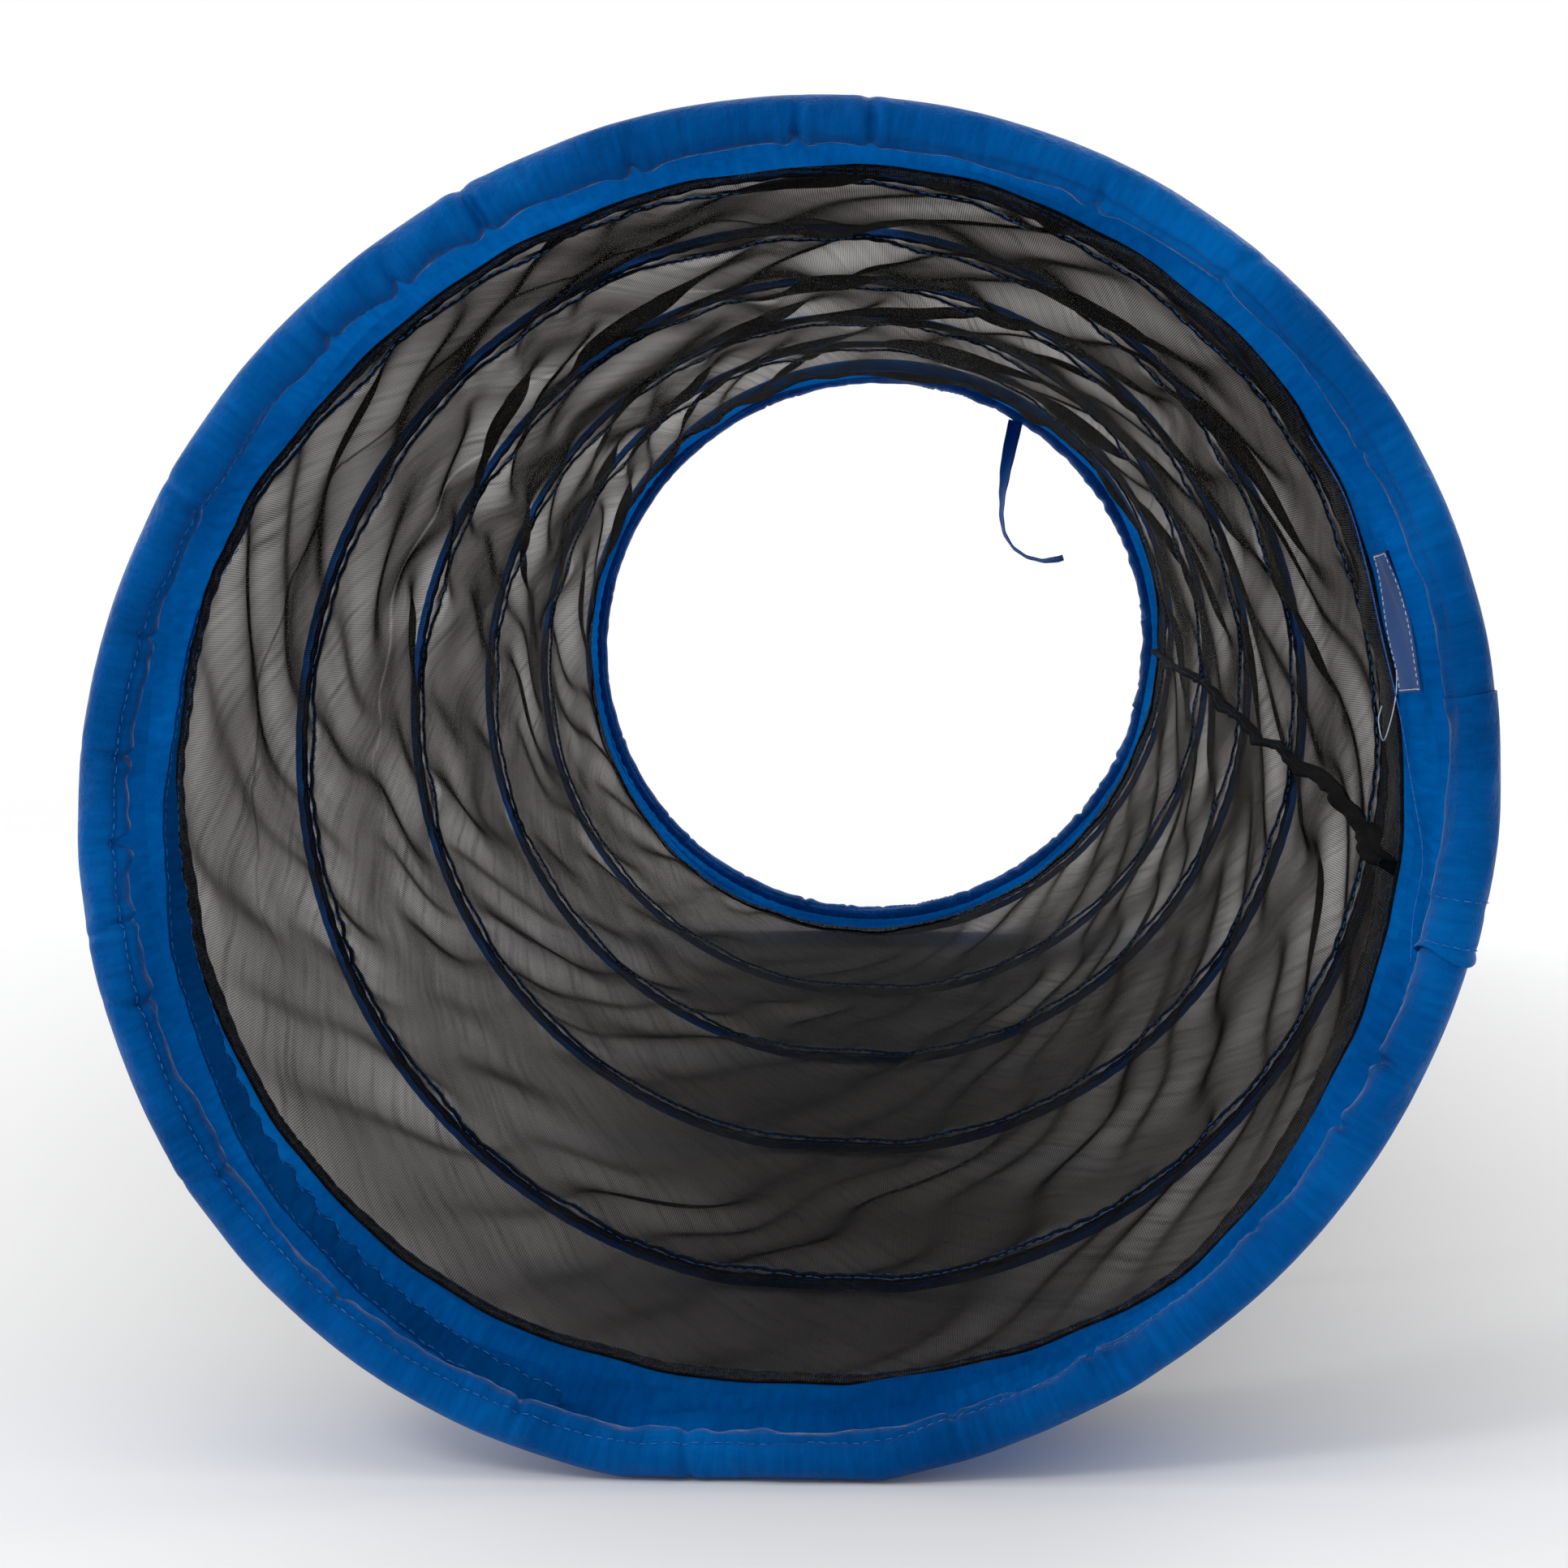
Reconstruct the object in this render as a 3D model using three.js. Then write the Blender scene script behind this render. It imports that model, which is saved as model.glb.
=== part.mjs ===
// A pop-up play tunnel: a see-through mesh tube with a blue band and a padded rim at each
// mouth, held open by a spiral of spring wire in a sewn channel. It folds flat along its axis.
//
// Units are millimetres. The tunnel lies on the floor z = 0 along Y, with its near mouth
// towards -Y and the origin under its middle. Two words place every piece:
//   along  is the distance from the near rim face, towards +Y
//   angle  is measured round the tunnel from the bottom, clockwise seen from the near mouth
import * as THREE from "three";

// Driving dimensions
const LENGTH = 1830; // rim face to rim face, sprung open
const RIM_RADIUS = 240; // outside of the padded rims
const CASING_WIDTH = 17.5; // across a padded rim
const CASING_WALL = 1;
const WALL_RADIUS = 229.5; // inside of the cloth tube
const CLOTH = 0.8;
const BAND_REACH = 108; // from the rim face to where band and mesh meet
const WIRE = 3; // diameter of the spring wire
const WIRE_START = 16; // where the spiral leaves the rim
const TURNS = 5.25; // of the spiral, rim to rim
const GAP = 0.3; // between pieces that touch in the real tunnel
const SIDES = 40; // straight facets round the tunnel

// Worked out from them
const STEP = (2 * Math.PI) / SIDES;
const PITCH = (LENGTH - 2 * WIRE_START) / TURNS;
const FULL_TURNS = Math.floor(TURNS);
const BAND_OUTSIDE = WALL_RADIUS + CLOTH;
const SPIRAL_RADIUS = BAND_OUTSIDE + GAP + WIRE / 2 + 0.5; // middle of the wire in its channel
const CRIMP_INSIDE = WIRE / 2 + GAP + 0.1;
const CRIMP_OUTSIDE = CRIMP_INSIDE + 0.9;
const LOOP_RADIUS = RIM_RADIUS - CASING_WALL - GAP - CRIMP_OUTSIDE; // middle of the wire in a rim
const CASING_MIDDLE = [CASING_WIDTH / 2, RIM_RADIUS - CASING_WIDTH / 2];

// The rims rest on a flat as wide as the two lowest facets, so the tunnel doesn't roll.
const BOTTOM_RISE = RIM_RADIUS * (1 - Math.cos(STEP));
const AXIS_HEIGHT = RIM_RADIUS - BOTTOM_RISE;

const degrees = THREE.MathUtils.degToRad;
const WIRE_JOINT = degrees(270) + STEP / 2; // where each rim's wire loop is joined
const OVERLAP_FROM = degrees(261); // the casing's free end laps over its start
const OVERLAP_TO = degrees(283);
const CHANNEL_LEAD = 2 * STEP; // the channel starts and stops this far inside the spiral

const cloth = (color) => new THREE.MeshStandardMaterial({ color, roughness: 0.8 });
const metal = (color, roughness) => new THREE.MeshStandardMaterial({ color, roughness, metalness: 1 });
const blueCloth = cloth(0x03529b);
const blueTape = cloth(0x0a3c78);
const blackMesh = cloth(0x2a2828);
const labelCloth = cloth(0x3a63a8);
const springSteel = metal(0x8d8f92, 0.35);
const crimpMetal = metal(0xc4c6c8, 0.4);

// ---- the tunnel's cross-section: a polygon whose lowest corner is lifted onto the flat

const cornerRadius = (radius, corner) => (corner % SIDES === 0 ? radius - BOTTOM_RISE : radius);

// How far out a facet lies at an angle, on the polygon whose corners are at this radius.
function facetRadius(radius, angle) {
  const corner = Math.floor(angle / STEP + 1e-6);
  const before = cornerRadius(radius, corner);
  const after = cornerRadius(radius, corner + 1);
  const past = angle - corner * STEP;
  return (before * after * Math.sin(STEP)) / (before * Math.sin(past) + after * Math.sin(STEP - past));
}

function placeAt(along, radius, angle) {
  const out = facetRadius(radius, angle);
  return new THREE.Vector3(-out * Math.sin(angle), along - LENGTH / 2, -out * Math.cos(angle));
}

// ---- shapes; a profile is a list of [along, radius]

const mirrored = (profile) => profile.map(([along, radius]) => [LENGTH - along, radius]);

// A profile carried once round the tunnel.
function ring(profile) {
  const points = profile.map(([along, radius]) => new THREE.Vector2(radius, along));
  if (THREE.ShapeUtils.isClockWise(points)) points.reverse();
  const geometry = new THREE.LatheGeometry([...points, points[0]], SIDES);
  const position = geometry.getAttribute("position");
  for (let i = 0; i < position.count; i++) {
    const [x, along, z] = [position.getX(i), position.getY(i), position.getZ(i)];
    const angle = (Math.atan2(-x, -z) + 2 * Math.PI) % (2 * Math.PI);
    position.setXYZ(i, ...placeAt(along, Math.hypot(x, z), angle));
  }
  return geometry;
}

// A profile carried through a list of angles, moving along by a pitch for each turn.
function winding(profile, angles, pitch = 0) {
  const section = new THREE.Shape(profile.map(([along, radius]) => new THREE.Vector2(along, radius)));
  const steps = angles.length - 1;
  const geometry = new THREE.ExtrudeGeometry(section, { depth: 1, steps, bevelEnabled: false });
  const position = geometry.getAttribute("position");
  for (let i = 0; i < position.count; i++) {
    const angle = angles[Math.round(position.getZ(i) * steps)];
    const along = position.getX(i) + (pitch * angle) / (2 * Math.PI);
    position.setXYZ(i, ...placeAt(along, position.getY(i), angle));
  }
  return geometry;
}

// Two angles and the polygon's corners between them.
function anglesBetween(from, to) {
  const angles = [from];
  for (let corner = Math.floor(from / STEP + 1e-6) + 1; corner * STEP < to - 1e-6; corner++) {
    angles.push(corner * STEP);
  }
  return [...angles, to];
}

// Points of a regular polygon round a middle, from its first corner to its last.
function corners(count, [along, radius], size, firstAngle) {
  return Array.from({ length: count }, (_, i) => {
    const turn = firstAngle + (2 * Math.PI * i) / count;
    return [along + size * Math.cos(turn), radius + size * Math.sin(turn)];
  });
}

const strip = (from, to, inside, thickness) => [
  [from, inside],
  [to, inside],
  [to, inside + thickness],
  [from, inside + thickness],
];

// An eight-sided tube, open on the side that faces the tunnel, where the band goes in.
function casingProfile(halfWidth, wall) {
  const eighth = Math.PI / 8;
  const outer = corners(8, CASING_MIDDLE, halfWidth / Math.cos(eighth), eighth);
  const inner = corners(8, CASING_MIDDLE, (halfWidth - wall) / Math.cos(eighth), eighth);
  return [...outer, ...inner.reverse()];
}

const wireProfile = (along, radius) => corners(6, [along, radius], WIRE / 2, 0);

// The folded tape over the spiral wire: a low arch standing on the cloth wall.
function channelProfile() {
  const foot = BAND_OUTSIDE + GAP;
  const halfFoot = 7;
  const halfRoof = 3.5;
  const height = 5.4;
  const arch = [
    [-halfFoot, foot],
    [-halfRoof, foot + height],
    [halfRoof, foot + height],
    [halfFoot, foot],
  ];
  const hollow = [
    [halfFoot - 1.2, foot],
    [halfRoof - 0.5, foot + height - CLOTH],
    [0.5 - halfRoof, foot + height - CLOTH],
    [1.2 - halfFoot, foot],
  ];
  return [...arch, ...hollow].map(([along, radius]) => [along + WIRE_START, radius]);
}

// ---- the pieces

const tunnel = new THREE.Group();
tunnel.position.z = AXIS_HEIGHT;

function add(name, geometry, material) {
  const mesh = new THREE.Mesh(geometry, material);
  mesh.name = name;
  tunnel.add(mesh);
  return mesh;
}

// One mouth: casing, its lapped end, the wire loop inside, the loop's crimp, and the band.
function addMouth(end, facing) {
  const halfCasing = CASING_WIDTH / 2;
  const lapWall = 0.8;
  const lapHalf = halfCasing + 0.45 + lapWall;
  add(`${end}_rim_casing`, ring(facing(casingProfile(halfCasing, CASING_WALL))), blueCloth);
  const lap = winding(facing(casingProfile(lapHalf, lapWall)), anglesBetween(OVERLAP_FROM, OVERLAP_TO));
  add(`${end}_casing_lap`, lap, blueCloth);

  const halfBreak = degrees(0.25);
  const round = anglesBetween(WIRE_JOINT + halfBreak, WIRE_JOINT + 2 * Math.PI - halfBreak);
  add(`${end}_wire_loop`, winding(facing(wireProfile(CASING_MIDDLE[0], LOOP_RADIUS)), round), springSteel);
  addCrimp(end, facing([[CASING_MIDDLE[0], LOOP_RADIUS]])[0]);

  const bandStart = CASING_WIDTH - 2.5;
  add(`${end}_band`, ring(facing(strip(bandStart, BAND_REACH, WALL_RADIUS, CLOTH))), blueCloth);
}

// A short metal sleeve over the joint of a wire loop, straight along its facet.
function addCrimp(end, [along, radius]) {
  const halfLength = 14;
  const outline = [
    [CRIMP_OUTSIDE, -halfLength],
    [CRIMP_OUTSIDE, halfLength],
    [CRIMP_INSIDE, halfLength],
    [CRIMP_INSIDE, -halfLength],
    [CRIMP_OUTSIDE, -halfLength],
  ];
  const sleeve = new THREE.LatheGeometry(outline.map((point) => new THREE.Vector2(...point)), 12);
  const crimp = add(`${end}_loop_crimp`, sleeve, crimpMetal);
  crimp.position.copy(placeAt(along, radius, WIRE_JOINT));
  const tangent = new THREE.Vector3(-Math.cos(WIRE_JOINT), 0, Math.sin(WIRE_JOINT));
  crimp.quaternion.setFromUnitVectors(new THREE.Vector3(0, 1, 0), tangent);
}

// The spiral from one angle to another: the wire, and the channel except at the very ends.
function addSpiral(name, from, to) {
  const last = TURNS * 2 * Math.PI;
  const gapAngle = GAP / WALL_RADIUS;
  const wire = wireProfile(WIRE_START, SPIRAL_RADIUS);
  add(`wire_${name}`, winding(wire, anglesBetween(from, to - gapAngle), PITCH), springSteel);
  const channelFrom = Math.max(from, CHANNEL_LEAD);
  const channelTo = Math.min(to - gapAngle, last - CHANNEL_LEAD);
  const channel = winding(channelProfile(), anglesBetween(channelFrom, channelTo), PITCH);
  add(`channel_${name}`, channel, blueTape);
}

// The mesh tube between the bands, parted where one turn of the spiral ends.
function addMeshPanel(turn) {
  const from = turn === 1 ? BAND_REACH : WIRE_START + (turn - 1) * PITCH;
  const to = turn === FULL_TURNS ? LENGTH - BAND_REACH : WIRE_START + turn * PITCH;
  add(`mesh_panel_${turn}`, ring(strip(from + GAP / 2, to - GAP / 2, WALL_RADIUS, CLOTH)), blackMesh);
}

// A blank cloth label sewn flat inside the near band.
function addLabel() {
  const thickness = 0.6;
  const profile = strip(60, 95, WALL_RADIUS - GAP - thickness, thickness);
  add("side_label", winding(profile, anglesBetween(degrees(248), degrees(261))), labelCloth);
}

// The tie ribbon hangs from inside the far rim and curls at its free end.
// Its route is [x, along, height over the tunnel's axis].
const RIBBON_ROUTE = [
  [116.5, 1821, 186],
  [113.5, 1819, 172],
  [109.5, 1817, 152],
  [107, 1815, 134],
  [105.5, 1813, 117],
  [106, 1810, 101],
  [110.5, 1806, 88],
  [119, 1802, 78.5],
  [130.5, 1799, 73],
  [143, 1797, 71.5],
  [155, 1796, 74],
];
const RIBBON_WIDTH = 12;

function addRibbon() {
  const half = RIBBON_WIDTH / 2;
  const edge = 0.4;
  const middle = 0.7;
  const outline = [
    [half, -edge],
    [half, edge],
    [half / 2, middle],
    [-half / 2, middle],
    [-half, edge],
    [-half, -edge],
    [-half / 2, -middle],
    [half / 2, -middle],
  ];
  const section = new THREE.Shape(outline.map(([width, thick]) => new THREE.Vector2(thick, width)));
  const route = RIBBON_ROUTE.map(([x, along, height]) => new THREE.Vector3(x, along - LENGTH / 2, height));
  const extrudePath = new THREE.CatmullRomCurve3(route);
  add("tie_ribbon", new THREE.ExtrudeGeometry(section, { steps: 24, extrudePath }), blueTape);
}

addMouth("near", (profile) => profile);
addMouth("far", mirrored);
for (let turn = 1; turn <= FULL_TURNS; turn++) {
  addSpiral(`turn_${turn}`, (turn - 1) * 2 * Math.PI, turn * 2 * Math.PI);
  addMeshPanel(turn);
}
addSpiral("end_turn", FULL_TURNS * 2 * Math.PI, TURNS * 2 * Math.PI);
addLabel();
addRibbon();

const part = new THREE.Group();
part.add(tunnel);
export default part;
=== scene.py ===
"""A pop-up play tunnel on its side, seen through its near mouth.

Every place is given by three numbers, in metres and radians:
  along   the distance from the near rim face, towards +Y
  radius  the distance from the tunnel's axis
  angle   round the tunnel from the bottom, clockwise seen from the near mouth
"""

import math

import bpy
import numpy as np
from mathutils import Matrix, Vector


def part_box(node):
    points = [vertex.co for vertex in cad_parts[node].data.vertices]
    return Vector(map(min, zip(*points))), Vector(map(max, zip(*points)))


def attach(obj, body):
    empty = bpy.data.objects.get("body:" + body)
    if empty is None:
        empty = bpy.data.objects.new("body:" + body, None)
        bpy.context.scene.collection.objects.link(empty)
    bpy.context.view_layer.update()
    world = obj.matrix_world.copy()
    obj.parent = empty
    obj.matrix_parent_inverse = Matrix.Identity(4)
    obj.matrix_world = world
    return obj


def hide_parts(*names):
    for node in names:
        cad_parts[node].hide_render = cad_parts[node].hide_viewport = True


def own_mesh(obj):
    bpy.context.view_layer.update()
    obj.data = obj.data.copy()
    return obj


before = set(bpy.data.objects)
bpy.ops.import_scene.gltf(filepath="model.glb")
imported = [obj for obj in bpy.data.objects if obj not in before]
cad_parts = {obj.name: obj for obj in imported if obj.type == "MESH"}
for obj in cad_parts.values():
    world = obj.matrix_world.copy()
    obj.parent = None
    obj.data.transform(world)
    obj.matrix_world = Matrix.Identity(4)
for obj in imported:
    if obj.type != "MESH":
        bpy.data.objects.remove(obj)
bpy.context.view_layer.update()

TURN = 2 * math.pi
MM = 0.001

# ---- the frame's own measures
rim_low, rim_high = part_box("near_rim_casing")
far_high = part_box("far_rim_casing")[1]
NEAR_FACE = rim_low.y
LENGTH = far_high.y - rim_low.y
RIM_RADIUS = (rim_high.x - rim_low.x) / 2
AXIS_HEIGHT = rim_high.z - RIM_RADIUS
CASING_WIDTH = rim_high.y - rim_low.y
FLAT_HALF_ANGLE = math.radians(9)  # the tunnel rests on a flat this wide
WALL = 229.5 * MM  # inside of the cloth tube
HEM_AT = 108 * MM  # where band and mesh meet
FAR_HEM_AT = LENGTH - HEM_AT
WIRE_START = 16 * MM
TURNS = 5.25
PITCH = (LENGTH - 2 * WIRE_START) / TURNS
SPIRAL_RADIUS = 232.6 * MM
LOOP_RADIUS = 235.9 * MM
CHANNEL_LEAD = math.radians(18)
SEAM_NEAR = math.radians(278)  # the lengthwise seam, at the near rim
SEAM_FAR = math.radians(269.5)
LAP_FROM = math.radians(261)  # where the casing's end laps over its start
LAP_TO = math.radians(283)
HEM_CROSSING = math.radians(106)  # how far the spiral has turned where it leaves a band
BAND_START = 15 * MM  # where a band comes out of its casing
BAND_TUCK = 2.5 * MM  # how far a band runs on under the hem
FAR_WANDER_TURN = 2  # turns the far border, so that it doesn't repeat the near one
FAR_CASING_TURN = 2.4  # turns the far casing's wrinkles


# ---- camera

def add_camera():
    """Near and above the axis, looking a little down and to the left into the mouth."""
    data = bpy.data.cameras.new("camera")
    data.lens = 85.6
    data.sensor_width = 36
    data.clip_start = 0.05
    camera = bpy.data.objects.new("camera", data)
    camera.location = (0.0538, NEAR_FACE - 1.271, AXIS_HEIGHT + 0.0909)
    camera.rotation_euler = (math.radians(90 - 3.80), 0, math.radians(2.383))
    bpy.context.scene.collection.objects.link(camera)
    bpy.context.scene.camera = camera


add_camera()


# ---- places

def smooth_step(low, high, value):
    """From 0 at low to 1 at high, without corners."""
    share = np.clip((value - low) / (high - low), 0, 1)
    return share * share * (3 - 2 * share)


def bump(value, middle, width):
    return np.exp(-(((value - middle) / width) ** 2))


def apart(angle, other):
    """The signed angle from other to angle, between minus and plus half a turn."""
    return (angle - other + math.pi) % TURN - math.pi


def hump(angle, degrees, width):
    """A bump at an angle round the tunnel, width radians wide."""
    return bump(apart(angle, math.radians(degrees)), 0, width)


def from_end(along, end):
    """A distance from the rim at one end, as a distance from the near rim."""
    return along if end == "near" else LENGTH - along


def hem_pull(angle):
    """How far the border of band and mesh is pulled in, in mm. It bulges at the lower right."""
    pull = 2.8 + 1.5 * hump(angle, 20, 0.5) + 1.6 * hump(angle, 155, 0.35)
    pull = pull - 3.0 * hump(angle, 112, 0.22)
    pull = pull + 6.2 * hump(angle, 258, 0.42) - 8.6 * hump(angle, 322, 0.36)
    ripple = 0.3 * np.sin(23 * angle + 0.7) + 0.2 * np.sin(41 * angle + 2) + 0.3 * np.sin(9 * angle)
    return pull + ripple


def swell(along):
    """Between the mouths the springy spiral stands a little wider, in mm."""
    start, full = 0.12, 0.34
    from_far = 1 - smooth_step(LENGTH - full, LENGTH - start, along)
    return 4.0 * smooth_step(start, full, along) * from_far


def mouth_shape(along, angle):
    """The springy mouths aren't quite round, and the hems are pulled in. In metres, outwards."""
    near_oval = 2.8 - 2.0 * np.cos(2 * angle) + 5.4 * np.sin(2 * angle)
    far_oval = -1.2 - 1.6 * np.cos(2 * angle) + 1.2 * np.sin(2 * angle)
    near_share = 1 - smooth_step(0.02, 0.40, along)
    far_share = smooth_step(LENGTH - 0.40, LENGTH - 0.02, along)
    near_hem = smooth_step(0.020, HEM_AT, along) * (1 - smooth_step(HEM_AT, 0.28, along))
    back = LENGTH - along
    far_hem = smooth_step(0.020, HEM_AT, back) * (1 - smooth_step(HEM_AT, 0.28, back))
    pulls = near_hem * hem_pull(angle) + 0.6 * far_hem * hem_pull(angle + 1.3)
    return (near_oval * near_share + far_oval * far_share + swell(along) - pulls) * MM


def place(along, radius, angle):
    """Points of the tunnel, the lowest of them lifted onto the flat that it rests on."""
    along, radius, angle = np.broadcast_arrays(along, radius, angle)
    shaped = radius + mouth_shape(along, angle)
    drop = shaped * np.cos(angle)
    limit = radius * math.cos(FLAT_HALF_ANGLE) + swell(along) * MM
    softness = 0.35 * MM
    drop = limit - softness * np.logaddexp(0, (limit - drop) / softness)
    return np.stack([-shaped * np.sin(angle), NEAR_FACE + along, AXIS_HEIGHT - drop], axis=-1)


def ring_along(theta):
    """Where the spiral is after turning by theta: an even pitch, with the cloth's small pulls."""
    wander = 5 * np.sin(0.61 * theta + 0.8) + 3 * np.sin(1.7 * theta + 2.1) + 1.2 * np.sin(4.3 * theta)
    wander = wander - 26 * bump(theta, 7.6, 2.6)
    held = np.clip(np.minimum(theta, TURNS * TURN - theta) / 2, 0, 1)
    return WIRE_START + PITCH * theta / TURN + wander * held * MM


def seam_angle(along):
    """Where the lengthwise seam is, which strays a little."""
    share = along / LENGTH
    wander = 0.012 * np.sin(16 * share + 0.4) + 0.005 * np.sin(47 * share)
    return SEAM_NEAR + (SEAM_FAR - SEAM_NEAR) * share + wander


# ---- how the cloth hangs

class Waves:
    """A smooth random field on the tunnel wall, made of slanted waves that close round it."""

    def __init__(self, seed, count, rounds, slant, spread):
        draw = np.random.default_rng(seed)
        self.rounds = draw.integers(rounds[0], rounds[1] + 1, count)
        self.alongs = self.rounds / WALL * (slant + spread * draw.standard_normal(count))
        self.phases = draw.uniform(0, TURN, count)
        self.heights = draw.uniform(0.6, 1.4, count) / (self.rounds + 2)
        self.heights /= math.sqrt(0.5 * float((self.heights**2).sum()))

    def __call__(self, along, angle):
        total = np.zeros(np.broadcast(along, angle).shape)
        for rounds, alongs, phase, height in zip(self.rounds, self.alongs, self.phases, self.heights):
            total += height * np.cos(rounds * angle + alongs * along + phase)
        return total


patches = Waves(13, 10, (1, 4), 0.6, 1.8)
sway = Waves(14, 9, (1, 5), 0.2, 0.5)
drift = Waves(17, 9, (3, 9), 0.2, 0.6)
band_folds = Waves(15, 16, (6, 22), 2.4, 1.6)
puckers = Waves(16, 12, (100, 150), 0.25, 0.3)


def pleats(along, angle, rounds, slant, strays, edge):
    """Long slanted pleats: wide faces that close in on the axis, and shorter steps back out."""
    slide = slant * along + 0.055 * (1 - np.exp(-along / 0.25))
    turned = rounds * (angle + slide / WALL) + strays
    return np.sin(turned) + edge * np.sin(2 * turned) + 0.3 * edge * np.sin(3 * turned)


def turn_share(along, angle):
    """How far a wall point is from one turn of the spiral to the next, counting turns."""
    share = (along - WIRE_START) / PITCH - angle / TURN
    theta = angle + TURN * np.round(share)
    return share - (ring_along(theta) - WIRE_START - PITCH * theta / TURN) / PITCH


def ring_distance(along, angle):
    """How far along the tunnel a wall point is from the nearest ring."""
    share = turn_share(along, angle)
    return np.abs(share - np.round(share)) * PITCH


def mesh_sag(along, angle):
    """How far the mesh hangs outwards from a plain tube, in metres."""
    share = turn_share(along, angle)
    share = share - np.floor(share)
    off_ring = ring_distance(along, angle)
    from_hem = np.minimum(along - HEM_AT, FAR_HEM_AT - along)
    hem_hold = smooth_step(-0.01, 0.05, from_hem)
    ring_hold = smooth_step(0, 0.020, off_ring)
    left, right = sway(along, angle), drift(along, angle)
    calm = smooth_step(-1.1, 0.7, patches(along, angle))
    depth = smooth_step(0.10, 0.42, along)
    upper = 0.5 - 0.5 * np.cos(angle - 0.5)
    under = smooth_step(0.25, 0.95, 0.5 + 0.5 * np.cos(angle + 0.1))
    height = (0.42 + 0.90 * np.maximum(depth, 0.75 * upper)) * (0.50 + 0.50 * calm) * (1 - 0.50 * under)
    broad = pleats(along, angle, 14, 0.36, 1.4 * left + 0.6 * right, 0.10)
    middle = pleats(along, angle, 29, 0.25, 1.7 * left + 1.1 * right, 0.12)
    fine = pleats(along, angle, 92, 0.26, 5.0 * left + 4.0 * right, 0.10)
    near_rings = np.exp(-off_ring / 0.05)
    folds = (2.4 * broad + 2.3 * middle) * height
    folds = folds + 0.13 * fine * (0.15 + 0.85 * near_rings) * (1.2 - calm)
    held = 0.35 * (np.minimum(folds, 2.5) - 2.5)
    hang = np.sin(math.pi * share**0.75) ** 1.5
    waist = (4.0 * np.cos(angle) - 2.6) * hang
    gathers = 0.22 * (puckers(along, angle) - 1.6) * np.exp(-off_ring / 0.014)
    cloth = ring_hold * folds + (1 - ring_hold) * held + waist
    return (hem_hold * cloth + gathers) * MM


def hem_wander(angle):
    """How far the border strays along the tunnel."""
    ripple = 2.2 * np.sin(3 * angle + 1) + 1.5 * np.sin(7 * angle) + 0.8 * np.sin(17 * angle + 2)
    return (ripple + 5 * hump(angle, 258, 0.4) - 9 * hump(angle, 322, 0.4)) * MM


def border(angle, end):
    """Where band and mesh meet, measured from the rim at that end."""
    return HEM_AT + hem_wander(angle if end == "near" else angle + FAR_WANDER_TURN)


def wall_radius(along, angle):
    """Inside of the hanging cloth, from rim to rim."""
    from_rim = np.minimum(along, LENGTH - along)
    in_band = smooth_step(0.016, 0.05, from_rim) * (1 - smooth_step(HEM_AT - 0.02, HEM_AT, from_rim))
    held = smooth_step(0.004, 0.03, ring_distance(along, angle))
    soft = (1.25 * band_folds(along, angle) - 1.5) * in_band * held
    seam = 0.25 * (puckers(along, angle) - 1) * np.exp(-np.abs(from_rim - 0.019) / 0.018)
    return WALL + (soft + seam) * MM + mesh_sag(along, angle)


# ---- making meshes

def make_piece(name, points, faces, material, uvs=None, smooth=True):
    mesh = bpy.data.meshes.new(name)
    mesh.from_pydata(np.asarray(points).reshape(-1, 3).tolist(), [], np.asarray(faces).tolist())
    if uvs is not None:
        layer = mesh.uv_layers.new(name="cloth")
        layer.data.foreach_set("uv", np.asarray(uvs, np.float32).ravel())
    mesh.polygons.foreach_set("use_smooth", [smooth] * len(mesh.polygons))
    mesh.materials.append(material)
    mesh.update()
    piece = bpy.data.objects.new(name, mesh)
    bpy.context.scene.collection.objects.link(piece)
    return piece


def skin(sections, places, closed, ring):
    """Quads and their uvs over rows of points. closed joins each row's end to its start, and
    ring joins the last row to the first. places holds each point's two lengths on the cloth."""
    rows, across = sections.shape[:2]
    i = np.arange(rows if ring else rows - 1)[:, None]
    j = np.arange(across if closed else across - 1)[None, :]
    i2, j2 = (i + 1) % rows, (j + 1) % across
    corners = np.stack([i * across + j, i2 * across + j, i2 * across + j2, i * across + j2], axis=-1)
    lengths = np.concatenate([places, places[:1] + ring_step(places)], axis=0) if ring else places
    lengths = np.concatenate([lengths, lengths[:, :1]], axis=1) if closed else lengths
    uv = np.stack([lengths[i, j], lengths[i + 1, j], lengths[i + 1, j + 1], lengths[i, j + 1]], axis=2)
    return corners.reshape(-1, 4), uv.reshape(-1, 4, 2)


def ring_step(places):
    """What a length gains once round a ring."""
    rows = len(places)
    return (places[-1:] - places[:1]) * rows / (rows - 1)


def outward(points, faces):
    """Faces turned so that a closed mesh's normals point out."""
    p = np.asarray(points).reshape(-1, 3)
    p = p - p.mean(axis=0)
    a, b, c, d = (p[faces[:, k]] for k in range(4))
    volume = sum(np.einsum("ij,ij->i", a, np.cross(e, f)).sum() for e, f in ((b, c), (c, d)))
    return faces if volume > 0 else faces[:, ::-1]


def turn_out(points, faces, uv):
    """Faces and their uvs, turned to point out."""
    turned = outward(points, faces)
    if turned is not faces:
        uv = uv[:, ::-1]
    return turned, uv


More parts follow.
